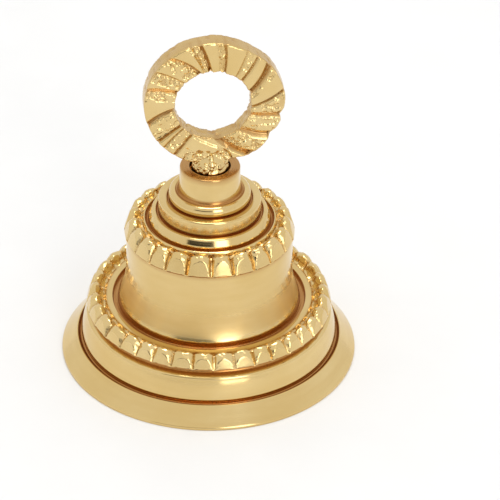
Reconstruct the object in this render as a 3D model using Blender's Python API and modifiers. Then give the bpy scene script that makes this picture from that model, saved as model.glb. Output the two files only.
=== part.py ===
"""Temple bell with a cast rope ring, a swivelling hanger and an inside clapper.

Metres, +Z up. The origin is the centre of the mouth, in the plane of the lip.
The bell stands mouth down, the hanging ring stands in the XZ plane above it,
and the clapper hangs straight down inside.
"""

import math

import bmesh
import bpy
from mathutils import Matrix, Vector

MM = 0.001

# ---------------------------------------------------------------- bell casting
SEGMENTS = 72  # steps round the bell: three to an upper bead, two to a lower one
LIP_R = 50.0  # outer radius of the mouth
LIP_SEAT_R = 46.3  # inner edge of the flat that the lip stands on
BAND_R = 43.4  # foot of the convex band above the lip
BAND_TOP_Z = 16.2
LOWER_BEAD_R = 41.5
LOWER_BEAD_Z0, LOWER_BEAD_Z1 = 18.6, 23.9
LOWER_BEADS = 36
TREAD_Z = 21.2  # plain annulus inside the lower bead band
WAIST_R = 27.95
WAIST_TOP_Z = 46.2
UPPER_BEAD_R = 28.7
UPPER_BEAD_Z0, UPPER_BEAD_Z1 = 46.7, 53.7
UPPER_BEADS = 24
BEAD_DEPTH = 0.75  # how far the clefts between beads go in
TIER1_R, TIER1_Z = 20.3, 55.2
TIER2_R, TIER2_Z = 17.25, 60.4
TIER3_R, TIER3_Z = 13.7, 63.6
BOSS_R, BOSS_TOP_Z = 10.15, 72.4

# ------------------------------------------------------------ inside the bell
WALL_R = 24.8  # inner radius behind the waist
CEILING_Z = 57.0
RECESS_R, RECESS_Z = 8.6, 61.5  # nut recess under the boss
SOCKET_R, SOCKET_FLOOR_Z = 6.8, 65.6  # round socket for the ring's foot
BOLT_HOLE_R = 3.4

# ---------------------------------------------------------------- hanging ring
RING_Z = 97.4  # centre of the ring
RING_OUTER_R = 23.2
RING_INNER_R = 12.4
RING_THICK = 6.6
RING_FLUTES = 16
RING_TWIST = 0.62  # radians that a flute turns from the hole to the outside
FLUTE_DEPTH = 0.55
FOOT_R, FOOT_BOTTOM_Z = 6.2, 67.2
TAPPED_R, TAPPED_TOP_Z = 3.3, 76.5

# --------------------------------------------------------------- hanger stack
GAP = 0.3
SHANK_R = 3.0  # M6
SHANK_TOP_Z = 76.2
WASHER_IR = 3.3
SOCKET_WASHER_OR, SOCKET_WASHER_T = 6.2, 1.0
CROWN_WASHER_OR, CROWN_WASHER_T = 7.4, 1.2
NUT_FLATS = 10.0  # across flats
NUT_T = 3.0
BOLT_EYE_Z, BOLT_EYE_R, BOLT_EYE_WIRE = 47.5, 4.0, 1.5

# -------------------------------------------------------------------- clapper
LINK_TOP_Z, LINK_DROP = 46.15, 9.0  # centre lines of the link's end wires
LINK_HALF_W, LINK_WIRE = 3.5, 1.0
STEM_EYE_TOP_Z, STEM_EYE_R, STEM_EYE_WIRE = 39.5, 3.5, 1.2
STEM_R = 1.6
COLLAR_R, COLLAR_T = 3.0, 1.2
BALL_Z, BALL_R, BALL_FLAT = 12.6, 7.6, 7.2
BALL_BORE_R = 1.9
THREAD_R = 1.5
END_NUT_FLATS, END_NUT_T, END_NUT_BORE_R = 5.5, 2.2, 1.8
STEM_BOTTOM_Z = 2.6


# -------------------------------------------------------------------- helpers
def clear_scene():
    for obj in list(bpy.data.objects):
        bpy.data.objects.remove(obj, do_unlink=True)


def make_collection(name, hidden=False):
    col = bpy.data.collections.new(name)
    bpy.context.scene.collection.children.link(col)
    col.hide_render = hidden
    return col


def move_to(obj, col):
    for other in list(obj.users_collection):
        other.objects.unlink(obj)
    col.objects.link(obj)


def material(name, colour, roughness, metallic=1.0):
    mat = bpy.data.materials.new(name)
    mat.use_nodes = True
    shader = mat.node_tree.nodes["Principled BSDF"]
    shader.inputs["Base Color"].default_value = (*colour, 1.0)
    shader.inputs["Roughness"].default_value = roughness
    shader.inputs["Metallic"].default_value = metallic
    mat.diffuse_color = (*colour, 1.0)
    return mat


def finish(obj, mat, parent=None, sharp=40.0):
    obj.data.materials.clear()
    obj.data.materials.append(mat)
    if obj.type == "MESH":
        obj.data.shade_smooth()
        obj.data.set_sharp_from_angle(angle=math.radians(sharp))
    if parent is not None:
        obj.parent = parent
        obj.matrix_parent_inverse = parent.matrix_world.inverted()
    return obj


def pivot(name, z, col):
    empty = bpy.data.objects.new(name, None)
    empty.empty_display_size = 0.01
    empty.location = (0.0, 0.0, z * MM)
    col.objects.link(empty)
    bpy.context.view_layer.update()
    return empty


def baked(obj):
    """The object as its modifiers leave it, with the transform kept."""
    bpy.context.view_layer.update()
    graph = bpy.context.evaluated_depsgraph_get()
    mesh = bpy.data.meshes.new_from_object(obj.evaluated_get(graph))
    old = obj.data
    kind = obj.type
    name, matrix = obj.name, obj.matrix_world.copy()
    cols = list(obj.users_collection)
    if kind == "MESH":
        obj.modifiers.clear()
        obj.data = mesh
        bpy.data.meshes.remove(old)
    else:
        bpy.data.objects.remove(obj, do_unlink=True)
        obj = bpy.data.objects.new(name, mesh)
        for col in cols:
            col.objects.link(obj)
        obj.name = name
        obj.matrix_world = matrix
    bm = bmesh.new()
    bm.from_mesh(obj.data)
    bmesh.ops.remove_doubles(bm, verts=bm.verts, dist=1e-6)
    bmesh.ops.recalc_face_normals(bm, faces=bm.faces)
    bm.to_mesh(obj.data)
    bm.free()
    bpy.context.view_layer.update()
    return obj


def turned(name, profile, steps, col, closed=True):
    """A profile of (r, z) points in mm, listed down the outer side, turned about Z."""
    mesh = bpy.data.meshes.new(name)
    points = [(r * MM, 0.0, z * MM) for r, z in profile]
    edges = [(i, i + 1) for i in range(len(points) - 1)]
    if closed:
        edges.append((len(points) - 1, 0))
    mesh.from_pydata(points, edges, [])
    obj = bpy.data.objects.new(name, mesh)
    col.objects.link(obj)
    screw = obj.modifiers.new("Turn", "SCREW")
    screw.axis = "Z"
    screw.angle = 2 * math.pi
    screw.steps = screw.render_steps = steps
    screw.use_merge_vertices = True
    screw.merge_threshold = 0.00001
    screw.use_smooth_shade = True
    return obj


def cylinder(name, radius, z0, z1, steps, col, turn=0.0):
    bpy.ops.mesh.primitive_cylinder_add(
        vertices=steps,
        radius=radius * MM,
        depth=(z1 - z0) * MM,
        location=(0.0, 0.0, 0.5 * (z0 + z1) * MM),
        rotation=(0.0, 0.0, turn),
    )
    obj = bpy.context.active_object
    obj.name = name
    move_to(obj, col)
    return obj


def torus(name, major, minor, z, axis, major_steps, minor_steps, col):
    rotation = {"X": (0.0, math.pi / 2, 0.0), "Y": (math.pi / 2, 0.0, 0.0)}[axis]
    bpy.ops.mesh.primitive_torus_add(
        major_radius=major * MM,
        minor_radius=minor * MM,
        major_segments=major_steps,
        minor_segments=minor_steps,
        location=(0.0, 0.0, z * MM),
        rotation=rotation,
    )
    obj = bpy.context.active_object
    obj.name = name
    move_to(obj, col)
    return obj


def boolean(obj, other, operation, label):
    mod = obj.modifiers.new(label, "BOOLEAN")
    mod.operation = operation
    mod.solver = "EXACT"
    mod.object = other
    return mod


def as_cutter(obj, col):
    move_to(obj, col)
    obj.hide_render = True
    obj.display_type = "WIRE"
    return obj


# ----------------------------------------------------------------- bell shell
def bell_profile():
    """The casting's section, from the socket down the outside and up the inside."""
    p = []
    # round socket and the boss round it
    p += [(BOLT_HOLE_R, SOCKET_FLOOR_Z), (SOCKET_R, SOCKET_FLOOR_Z)]
    p += [(SOCKET_R, BOSS_TOP_Z), (BOSS_R - 0.5, BOSS_TOP_Z)]
    p += [(BOSS_R, BOSS_TOP_Z - 0.6), (BOSS_R + 0.2, TIER3_Z + 1.2)]
    # three stepped tiers
    p += [(BOSS_R + 1.3, TIER3_Z - 0.2), (TIER3_R - 0.8, TIER3_Z - 0.1)]
    p += [(TIER3_R, TIER3_Z - 1.8), (TIER3_R, TIER2_Z - 0.4)]
    p += [(TIER2_R - 0.7, TIER2_Z), (TIER2_R, TIER2_Z - 1.0)]
    p += [(TIER2_R, TIER1_Z - 0.1), (TIER1_R - 1.0, TIER1_Z)]
    p += [(TIER1_R, TIER1_Z - 1.8), (TIER1_R + 0.6, 52.1)]
    # upper bead band on the shoulder
    p += [(23.2, 52.5), (25.3, UPPER_BEAD_Z1), (UPPER_BEAD_R - 0.9, 52.4)]
    p += [(UPPER_BEAD_R, 49.9), (UPPER_BEAD_R - 0.2, UPPER_BEAD_Z0)]
    # plain waist, and the flare at its foot
    p += [(WAIST_R - 0.1, WAIST_TOP_Z), (WAIST_R, 34.0), (28.9, 26.0)]
    p += [(30.4, 21.8), (32.4, TREAD_Z - 0.2), (34.9, TREAD_Z + 0.4)]
    # lower bead band at the hip
    p += [(36.8, 23.3), (39.4, LOWER_BEAD_Z1 - 0.2), (LOWER_BEAD_R - 0.3, 22.2)]
    p += [(LOWER_BEAD_R, 20.2), (LOWER_BEAD_R - 0.3, LOWER_BEAD_Z0)]
    # cove, convex band, groove and flared lip
    p += [(39.7, 17.4), (40.2, BAND_TOP_Z - 0.5), (42.2, 12.8), (BAND_R, 7.6)]
    p += [(43.8, 6.3), (45.6, 6.1), (48.3, 3.8), (LIP_R, 0.8)]
    p += [(LIP_R - 0.3, 0.0), (LIP_SEAT_R, 0.0)]
    # inside: lip flare, skirt, hip, waist wall, dome, ceiling, nut recess, bolt hole
    p += [(41.8, 3.0), (39.0, 9.5), (36.4, 15.2), (31.5, 18.4)]
    p += [(27.2, 20.8), (WALL_R + 0.2, 24.8), (WALL_R - 0.1, 42.5)]
    p += [(22.6, 46.5), (18.4, 50.6), (13.6, 55.6), (11.6, CEILING_Z)]
    p += [(RECESS_R, CEILING_Z), (RECESS_R, RECESS_Z), (BOLT_HOLE_R, RECESS_Z)]
    return p


def cut_beads(obj):
    """Scallops the outer edges of the two bead bands."""
    bands = (
        (UPPER_BEADS, 24.0, UPPER_BEAD_R, 48.0, UPPER_BEAD_Z1),
        (LOWER_BEADS, 38.4, LOWER_BEAD_R, 19.6, LOWER_BEAD_Z1),
    )
    for vert in obj.data.vertices:
        x, y, z = (c / MM for c in vert.co)
        r = math.hypot(x, y)
        for count, r0, r1, z0, z1 in bands:
            if r0 < r < r1 + 0.01 and z0 < z < z1 + 0.01:
                wave = 0.5 - 0.5 * math.cos(count * math.atan2(y, x))
                r_new = r - BEAD_DEPTH * (1.0 - wave)
                vert.co.x *= r_new / r
                vert.co.y *= r_new / r
                vert.co.z -= 0.35 * BEAD_DEPTH * (1.0 - wave) * MM
    return obj


def build_shell(col, mats):
    shell = turned("bell_shell", bell_profile(), SEGMENTS, col)
    shell = baked(shell)
    cut_beads(shell)
    return finish(shell, mats["bell"])


# --------------------------------------------------------------- hanging ring
def ring_offset(angle, side):
    """Radial and axial place on the rope-fluted section.

    angle runs round the ring, side runs round the section: 0 outside, pi/2 back,
    pi hole, 3 pi/2 front.
    """
    half_r = 0.5 * (RING_OUTER_R - RING_INNER_R)
    half_t = 0.5 * RING_THICK
    c, s = math.cos(side), math.sin(side)
    power = 0.55  # a squarish section with rounded corners
    u = math.copysign(abs(c) ** power, c)
    v = math.copysign(abs(s) ** power, s)
    phase = RING_FLUTES * (angle - RING_TWIST * 0.5 * u)
    groove = max(0.0, math.cos(phase)) ** 2
    on_face = abs(v) ** 2
    depth = FLUTE_DEPTH * groove * (0.35 + 0.65 * on_face)
    return (half_r - 0.5 * depth) * u, (half_t - depth) * v


def build_ring(col, cutters, mats, parent):
    major, minor = 64, 12
    mid = 0.5 * (RING_OUTER_R + RING_INNER_R)
    ring = torus("hanging_ring", mid, 3.0, RING_Z, "Y", major, minor, col)
    for vert in ring.data.vertices:
        x, y, z = vert.co
        angle = math.atan2(y, x)
        side = math.atan2(z, math.hypot(x, y) - mid * MM)
        dr, dz = ring_offset(angle, side)
        r = (mid + dr) * MM
        vert.co = (r * math.cos(angle), r * math.sin(angle), dz * MM)
    foot = turned(
        "ring_foot",
        [(0.0, 79.0), (2.8, 78.6), (4.2, 77.2), (5.2, 75.2), (FOOT_R - 0.1, 73.6)]
        + [(FOOT_R, 72.8), (FOOT_R, FOOT_BOTTOM_Z + 0.4)]
        + [(FOOT_R - 0.4, FOOT_BOTTOM_Z), (0.0, FOOT_BOTTOM_Z)],
        28,
        col,
        closed=False,
    )
    foot = as_cutter(baked(foot), cutters)
    hole = as_cutter(
        cylinder("ring_tapped_hole", TAPPED_R, FOOT_BOTTOM_Z - 2, TAPPED_TOP_Z, 20, col),
        cutters,
    )
    boolean(ring, foot, "UNION", "Foot")
    boolean(ring, hole, "DIFFERENCE", "Tapped hole")
    return finish(ring, mats["ring"], parent)


# ------------------------------------------------------- bolt, nuts, washers
def washer(name, outer, inner, z0, thick, col, mat, parent):
    c = 0.15  # rounded rim
    z1 = z0 + thick
    profile = [(inner, z1), (outer - c, z1), (outer, z1 - c)]
    profile += [(outer, z0 + c), (outer - c, z0), (inner, z0)]
    return finish(turned(name, profile, 28, col), mat, parent)


def hex_nut(name, flats, bore, z0, thick, col, cutters, mat, parent, turn=0.0):
    corner = 0.5 * flats / math.cos(math.pi / 6)
    nut = cylinder(name, corner, z0, z0 + thick, 6, col, turn)
    c = 0.12 * flats
    dome = turned(
        name + "_chamfer",
        [(0.0, z0 + thick + 0.01), (0.5 * flats, z0 + thick + 0.01)]
        + [(0.5 * flats + c, z0 + thick - 0.6 * c), (0.5 * flats + c, z0 + 0.6 * c)]
        + [(0.5 * flats, z0 - 0.01), (0.0, z0 - 0.01)],
        32,
        col,
        closed=False,
    )
    dome = as_cutter(baked(dome), cutters)
    hole = as_cutter(
        cylinder(name + "_bore", bore, z0 - 1, z0 + thick + 1, 20, col), cutters
    )
    boolean(nut, dome, "INTERSECT", "Chamfer")
    boolean(nut, hole, "DIFFERENCE", "Bore")
    return finish(nut, mat, parent, 25.0)


def build_hanger(col, cutters, mats, parent):
    washer(
        "socket_washer", SOCKET_WASHER_OR, WASHER_IR, SOCKET_FLOOR_Z + GAP,
        SOCKET_WASHER_T, col, mats["washer"], parent,
    )  # fmt: skip
    top = RECESS_Z - GAP
    washer(
        "crown_washer", CROWN_WASHER_OR, WASHER_IR, top - CROWN_WASHER_T,
        CROWN_WASHER_T, col, mats["washer"], parent,
    )  # fmt: skip
    top -= CROWN_WASHER_T + GAP
    hex_nut(
        "crown_nut", NUT_FLATS, WASHER_IR, top - NUT_T, NUT_T,
        col, cutters, mats["steel"], parent,
    )  # fmt: skip
    top -= NUT_T + GAP
    hex_nut(
        "lock_nut", NUT_FLATS, WASHER_IR, top - NUT_T, NUT_T,
        col, cutters, mats["steel"], parent, math.radians(22),
    )  # fmt: skip
    # M6 eye bolt: shank up into the ring's foot, eye below for the clapper link
    bolt = torus(
        "eye_bolt", BOLT_EYE_R, BOLT_EYE_WIRE, BOLT_EYE_Z, "X", 32, 10, col
    )
    low = BOLT_EYE_Z + BOLT_EYE_R
    shank = turned(
        "eye_bolt_shank",
        [(0.0, SHANK_TOP_Z), (SHANK_R - 0.6, SHANK_TOP_Z), (SHANK_R, SHANK_TOP_Z - 0.6)]
        + [(SHANK_R, low + 1.6), (1.9, low + 0.2), (0.9, low - 0.2), (0.0, low - 0.2)],
        24,
        col,
        closed=False,
    )
    shank = as_cutter(baked(shank), cutters)
    boolean(bolt, shank, "UNION", "Shank")
    finish(bolt, mats["steel"], parent)


# -------------------------------------------------------------------- clapper
def link_points(count):
    """Centre line of the closed oval link, in the XZ plane."""
    half = 0.5 * LINK_DROP - LINK_HALF_W
    centre = LINK_TOP_Z - 0.5 * LINK_DROP
    points = []
    for i in range(count):
        t = 2 * math.pi * i / count
        x = LINK_HALF_W * math.cos(t)
        z = LINK_HALF_W * math.sin(t) + math.copysign(half, math.sin(t) + 1e-9)
        points.append(Vector((x, 0.0, centre + z)) * MM)
    return points


def build_link(col, mats, parent):
    curve = bpy.data.curves.new("hanger_link", "CURVE")
    curve.dimensions = "3D"
    curve.bevel_depth = LINK_WIRE * MM
    curve.bevel_resolution = 2
    spline = curve.splines.new("POLY")
    points = link_points(32)
    spline.points.add(len(points) - 1)
    for point, co in zip(spline.points, points):
        point.co = (*co, 1.0)
    spline.use_cyclic_u = True
    link = bpy.data.objects.new("hanger_link", curve)
    col.objects.link(link)
    link = baked(link)
    # the mesh's origin goes to the top wire, which the link swings about
    offset = Vector((0.0, 0.0, LINK_TOP_Z * MM))
    link.data.transform(Matrix.Translation(-offset))
    link.location = offset
    bpy.context.view_layer.update()
    return finish(link, mats["steel"], parent, 60.0)


def build_clapper(col, cutters, mats, parent):
    eye_z = STEM_EYE_TOP_Z - STEM_EYE_R
    stem = torus("clapper_stem", STEM_EYE_R, STEM_EYE_WIRE, eye_z, "X", 28, 10, col)
    top = eye_z - STEM_EYE_R + 0.3
    collar_z = BALL_Z + BALL_FLAT + GAP
    rod = turned(
        "clapper_rod",
        [(0.0, top), (0.9, top), (1.7, top - 1.0), (STEM_R, top - 2.2)]
        + [(STEM_R, collar_z + COLLAR_T + 0.4), (COLLAR_R, collar_z + COLLAR_T)]
        + [(COLLAR_R, collar_z), (STEM_R, collar_z), (STEM_R, BALL_Z - BALL_FLAT + 0.6)]
        + [(THREAD_R, BALL_Z - BALL_FLAT + 0.4), (THREAD_R, STEM_BOTTOM_Z + 0.4)]
        + [(THREAD_R - 0.4, STEM_BOTTOM_Z), (0.0, STEM_BOTTOM_Z)],
        20,
        col,
        closed=False,
    )
    rod = as_cutter(baked(rod), cutters)
    boolean(stem, rod, "UNION", "Rod")
    finish(stem, mats["steel"], parent)

    bpy.ops.mesh.primitive_uv_sphere_add(
        segments=24, ring_count=14, radius=BALL_R * MM, location=(0, 0, BALL_Z * MM)
    )
    ball = bpy.context.active_object
    ball.name = "clapper_ball"
    move_to(ball, col)
    slab = as_cutter(
        cylinder(
            "clapper_ball_flats", 2 * BALL_R, BALL_Z - BALL_FLAT, BALL_Z + BALL_FLAT,
            24, col,
        ),  # fmt: skip
        cutters,
    )
    bore = as_cutter(
        cylinder("clapper_ball_bore", BALL_BORE_R, 0, 30, 18, col), cutters
    )
    boolean(ball, slab, "INTERSECT", "Flats")
    boolean(ball, bore, "DIFFERENCE", "Bore")
    finish(ball, mats["ball"], parent)

    hex_nut(
        "clapper_end_nut", END_NUT_FLATS, END_NUT_BORE_R,
        BALL_Z - BALL_FLAT - GAP - END_NUT_T, END_NUT_T,
        col, cutters, mats["steel"], parent,
    )  # fmt: skip


# ----------------------------------------------------------------------- main
def main():
    clear_scene()
    parts = make_collection("temple_bell")
    cutters = make_collection("cutters", hidden=True)
    brass = (0.74, 0.53, 0.22)
    mats = {
        "bell": material("polished_brass_bell", brass, 0.14),
        "ring": material("cast_brass_ring", (0.72, 0.51, 0.21), 0.24),
        "ball": material("turned_brass_clapper", (0.68, 0.48, 0.20), 0.22),
        "washer": material("brass_washer", (0.62, 0.45, 0.20), 0.35),
        "steel": material("plated_steel_hardware", (0.60, 0.58, 0.54), 0.3),
    }
    shell = build_shell(parts, mats)
    swivel = pivot("swivel_pivot", BOSS_TOP_Z, parts)
    swivel.parent = shell
    link_pivot = pivot("link_pivot", LINK_TOP_Z, parts)
    link_pivot.parent = swivel
    link_pivot.matrix_parent_inverse = swivel.matrix_world.inverted()
    clapper_pivot = pivot("clapper_pivot", STEM_EYE_TOP_Z, parts)
    clapper_pivot.parent = link_pivot
    bpy.context.view_layer.update()
    clapper_pivot.matrix_parent_inverse = link_pivot.matrix_world.inverted()
    bpy.context.view_layer.update()
    build_ring(parts, cutters, mats, swivel)
    build_hanger(parts, cutters, mats, swivel)
    build_link(parts, mats, link_pivot)
    build_clapper(parts, cutters, mats, clapper_pivot)
    bpy.context.view_layer.update()


main()
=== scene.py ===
"""Temple bell: the finished look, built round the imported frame.

Metres, +Z up, the same frame as the CAD. Lengths in the tables below are in
millimetres and are turned into metres when a mesh is made.
"""
import math

import bmesh
import bpy
import numpy as np
from mathutils import Matrix, Vector


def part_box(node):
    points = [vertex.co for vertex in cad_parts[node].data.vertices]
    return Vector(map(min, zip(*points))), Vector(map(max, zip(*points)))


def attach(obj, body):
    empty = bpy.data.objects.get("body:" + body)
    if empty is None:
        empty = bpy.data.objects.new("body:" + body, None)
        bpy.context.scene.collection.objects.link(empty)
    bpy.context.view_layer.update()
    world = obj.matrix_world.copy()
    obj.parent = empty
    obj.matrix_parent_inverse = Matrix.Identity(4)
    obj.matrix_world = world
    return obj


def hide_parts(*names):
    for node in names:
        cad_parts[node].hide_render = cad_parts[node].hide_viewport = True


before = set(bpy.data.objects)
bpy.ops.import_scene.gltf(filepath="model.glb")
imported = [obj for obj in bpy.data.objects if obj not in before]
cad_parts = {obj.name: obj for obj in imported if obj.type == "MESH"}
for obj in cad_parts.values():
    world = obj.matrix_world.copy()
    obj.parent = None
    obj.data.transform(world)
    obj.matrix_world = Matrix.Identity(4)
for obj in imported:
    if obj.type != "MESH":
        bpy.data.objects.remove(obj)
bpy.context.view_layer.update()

MM = 0.001
TAU = 2 * math.pi

# Heights come from the frame, so that a change there is followed here.
LIP_LOW, LIP_HIGH = (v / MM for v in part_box("bell_shell"))
LIP_R = LIP_HIGH.x
BOSS_TOP = LIP_HIGH.z
RING_LOW, RING_HIGH = (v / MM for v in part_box("hanging_ring"))
RING_OUT = 0.5 * (RING_HIGH.x - RING_LOW.x)
RING_C = RING_HIGH.z - RING_OUT
FOOT_LOW = RING_LOW.z
RING_IN = 12.6
RING_T = 6.6


# ------------------------------------------------------------------ camera
def make_camera():
    """Seen from 35 degrees above, a little to the left, from far away."""
    tilt, dist, lens_px = math.radians(35.14), 1.2, 3502.6
    yaw, pitch, roll = (math.radians(a) for a in (-0.665, 1.539, 0.46))
    orbit = math.radians(-6.0)
    spot = Vector((0.0, -dist * math.cos(tilt), dist * math.sin(tilt)))
    fwd = (-spot).normalized()
    right = Vector((1.0, 0.0, 0.0))
    up = right.cross(fwd)
    turn = Matrix.Rotation(yaw, 3, up)
    fwd, right = turn @ fwd, turn @ right
    turn = Matrix.Rotation(pitch, 3, right)
    fwd, up = turn @ fwd, turn @ up
    c, s = math.cos(roll), math.sin(roll)
    right, up = right * c + up * s, up * c - right * s
    basis = Matrix((right, up, -fwd)).transposed().to_4x4()
    matrix = Matrix.Rotation(orbit, 4, "Z") @ Matrix.Translation(spot) @ basis
    data = bpy.data.cameras.new("camera")
    data.sensor_width = 36.0
    data.lens = lens_px / 500.0 * 36.0
    data.clip_start, data.clip_end = 0.05, 50.0
    cam = bpy.data.objects.new("camera", data)
    bpy.context.scene.collection.objects.link(cam)
    cam.matrix_world = matrix
    bpy.context.scene.camera = cam
    return cam


make_camera()


# ------------------------------------------------------------- numeric tools
def hashed(ix, iy, iz, seed):
    n = (ix * 374761393 + iy * 668265263 + iz * 2147483647 + seed * 1274126177) & 0xFFFFFFFF
    n = ((n ^ (n >> 13)) * 1274126177) & 0xFFFFFFFF
    n = ((n ^ (n >> 16)) * 668265263) & 0xFFFFFFFF
    return ((n ^ (n >> 15)) & 0xFFFFFF) / float(0xFFFFFF)


def noise3(x, y, z, size, seed=0):
    """Smooth value noise from -1 to 1; one cell is size millimetres."""
    x, y, z = x / size, y / size, z / size
    ix, iy, iz = (np.floor(a).astype(np.int64) for a in (x, y, z))
    fx, fy, fz = x - ix, y - iy, z - iz
    fx, fy, fz = (f * f * f * (f * (f * 6 - 15) + 10) for f in (fx, fy, fz))
    out = 0.0
    for dx in (0, 1):
        for dy in (0, 1):
            for dz in (0, 1):
                w = (fx if dx else 1 - fx) * (fy if dy else 1 - fy) * (fz if dz else 1 - fz)
                out = out + w * hashed(ix + dx, iy + dy, iz + dz, seed)
    return out * 2 - 1


def fractal(x, y, z, size, seed=0, octaves=3):
    total, amp, norm = 0.0, 1.0, 0.0
    for k in range(octaves):
        total = total + amp * noise3(x, y, z, size / 2**k, seed + 31 * k)
        norm += amp
        amp *= 0.5
    return total / norm


def smooth(a, b, x):
    t = np.clip((x - a) / (b - a), 0.0, 1.0)
    return t * t * (3 - 2 * t)


def spline(points, step):
    """A smooth line through (r, z) points, at even spacing along its length."""
    p = np.array(points, float)
    if len(p) == 2:
        fine = p
    else:
        ext = np.vstack([2 * p[0] - p[1], p, 2 * p[-1] - p[-2]])
        fine = []
        for i in range(1, len(ext) - 2):
            p0, p1, p2, p3 = ext[i - 1 : i + 3]
            t0 = 0.0
            t1 = t0 + max(np.linalg.norm(p1 - p0), 1e-6) ** 0.5
            t2 = t1 + max(np.linalg.norm(p2 - p1), 1e-6) ** 0.5
            t3 = t2 + max(np.linalg.norm(p3 - p2), 1e-6) ** 0.5
            for t in np.linspace(t1, t2, 24, endpoint=False):
                a1 = (t1 - t) / (t1 - t0) * p0 + (t - t0) / (t1 - t0) * p1
                a2 = (t2 - t) / (t2 - t1) * p1 + (t - t1) / (t2 - t1) * p2
                a3 = (t3 - t) / (t3 - t2) * p2 + (t - t2) / (t3 - t2) * p3
                b1 = (t2 - t) / (t2 - t0) * a1 + (t - t0) / (t2 - t0) * a2
                b2 = (t3 - t) / (t3 - t1) * a2 + (t - t1) / (t3 - t1) * a3
                fine.append((t2 - t) / (t2 - t1) * b1 + (t - t1) / (t2 - t1) * b2)
        fine.append(p[-1])
        fine = np.array(fine)
    seg = np.linalg.norm(np.diff(fine, axis=0), axis=1)
    s = np.concatenate([[0], np.cumsum(seg)])
    n = max(1, int(round(s[-1] / step)))
    at = np.linspace(0, s[-1], n + 1)
    return np.stack([np.interp(at, s, fine[:, 0]), np.interp(at, s, fine[:, 1])], 1)


# --------------------------------------------------------------- mesh tools
def new_object(name, verts_mm, faces, mats, sharp=35.0, index=None, attrs=None):
    mesh = bpy.data.meshes.new(name)
    verts = np.asarray(verts_mm, float) * MM
    mesh.from_pydata(verts.tolist(), [], [list(map(int, f)) for f in faces])
    bm = bmesh.new()
    bm.from_mesh(mesh)
    if bm.calc_volume(signed=True) < 0:
        bmesh.ops.reverse_faces(bm, faces=bm.faces)
    bm.to_mesh(mesh)
    bm.free()
    for m in mats:
        mesh.materials.append(m)
    if index is not None:
        mesh.polygons.foreach_set("material_index", np.asarray(index, np.int32))
    for key, value in (attrs or {}).items():
        a = mesh.attributes.new(key, "FLOAT", "POINT")
        a.data.foreach_set("value", np.asarray(value, np.float32))
    mesh.shade_smooth()
    if sharp is not None:
        mesh.set_sharp_from_angle(angle=math.radians(sharp))
    obj = bpy.data.objects.new(name, mesh)
    bpy.context.scene.collection.objects.link(obj)
    return obj


def grid_faces(rows, cols, wrap_rows=False, wrap_cols=True, offset=0):
    r = np.arange(rows if wrap_rows else rows - 1)
    c = np.arange(cols if wrap_cols else cols - 1)
    rr, cc = np.meshgrid(r, c, indexing="ij")
    r2, c2 = (rr + 1) % rows, (cc + 1) % cols
    quads = np.stack(
        [rr * cols + cc, r2 * cols + cc, r2 * cols + c2, rr * cols + c2], -1
    )
    return quads.reshape(-1, 4) + offset


def lathe(name, profile, steps, mats, closed=False, sharp=35.0, index=None, radial=None):
    """A solid turned from (r, z) points. An open profile starts and ends on the axis."""
    prof = np.array(profile, float)
    th = np.arange(steps) * TAU / steps
    body = prof if closed else prof[1:-1]
    rr = np.repeat(body[:, :1], steps, 1)
    zz = np.repeat(body[:, 1:], steps, 1)
    if radial is not None:
        rr, zz = radial(rr, zz, th[None, :])
    v = np.stack([rr * np.cos(th), rr * np.sin(th), zz], -1).reshape(-1, 3)
    faces = [tuple(f) for f in grid_faces(len(body), steps, wrap_rows=closed)]
    if not closed:
        top, low = len(v), len(v) + 1
        v = np.vstack([v, [[0, 0, prof[0, 1]], [0, 0, prof[-1, 1]]]])
        last = (len(body) - 1) * steps
        for j in range(steps):
            k = (j + 1) % steps
            faces.append((top, j, k))
            faces.append((low, last + k, last + j))
    return new_object(name, v, faces, mats, sharp, index)


def union(obj, other):
    """Joins other into obj, and removes other."""
    mod = obj.modifiers.new("join", "BOOLEAN")
    mod.operation = "UNION"
    mod.solver = "MANIFOLD"
    mod.object = other
    return apply_booleans(obj, [other])


def cut(obj, other):
    mod = obj.modifiers.new("cut", "BOOLEAN")
    mod.operation = "DIFFERENCE"
    mod.solver = "MANIFOLD"
    mod.object = other
    return apply_booleans(obj, [other])


def apply_booleans(obj, others, sharp=35.0):
    bpy.context.view_layer.update()
    graph = bpy.context.evaluated_depsgraph_get()
    mesh = bpy.data.meshes.new_from_object(
        obj.evaluated_get(graph), preserve_all_data_layers=True, depsgraph=graph
    )
    obj.modifiers.clear()
    old = obj.data
    obj.data = mesh
    bpy.data.meshes.remove(old)
    for o in others:
        bpy.data.objects.remove(o, do_unlink=True)
    mesh.shade_smooth()
    mesh.set_sharp_from_angle(angle=math.radians(sharp))
    return obj


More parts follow.
